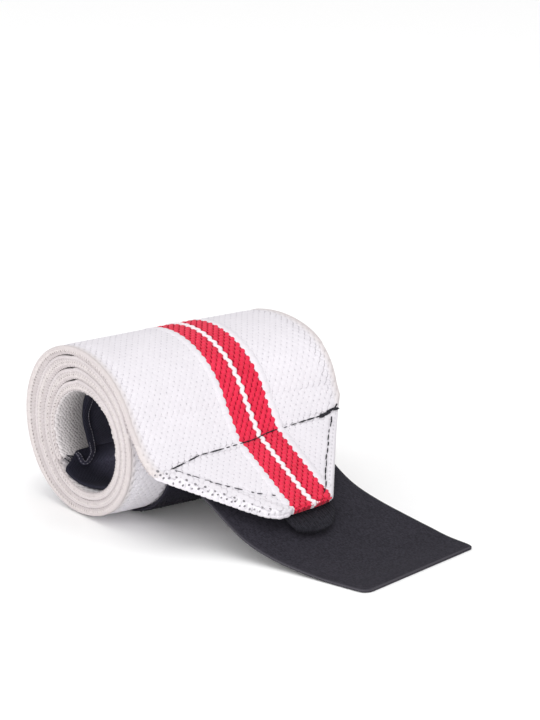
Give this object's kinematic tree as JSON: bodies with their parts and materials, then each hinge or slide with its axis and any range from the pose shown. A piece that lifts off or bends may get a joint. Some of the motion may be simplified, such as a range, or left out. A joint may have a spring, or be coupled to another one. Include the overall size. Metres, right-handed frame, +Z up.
{
  "type": "wrist wrap",
  "caption": "Elastic wrist wrap rolled up on its side: white woven band with a red stripe, pointed flap, black closing strap laid out flat, loop patch and thumb loop.",
  "frame": {"origin": "on the floor under the middle of the whole wrap as it lies", "axes": "+X along the wrap from the roll towards the strap's end, +Y along the roll's axis away from the end face that shows, +Z up"},
  "size_m": [0.139, 0.0804, 0.053],
  "materials": {
    "woven_elastic": "white woven elastic with a red stripe",
    "hook_strap": "smooth black strap tape",
    "ribbed_tape": "black ribbed tape",
    "loop_pile": "black brushed loop pile",
    "loop_tape": "black woven tape"
  },
  "bodies": {
    "root": {"wrap_band": "woven_elastic", "closure_strap": "hook_strap", "tip_tab": "ribbed_tape", "loop_patch": "loop_pile", "thumb_loop": "loop_tape"}
  },
  "joints": []
}
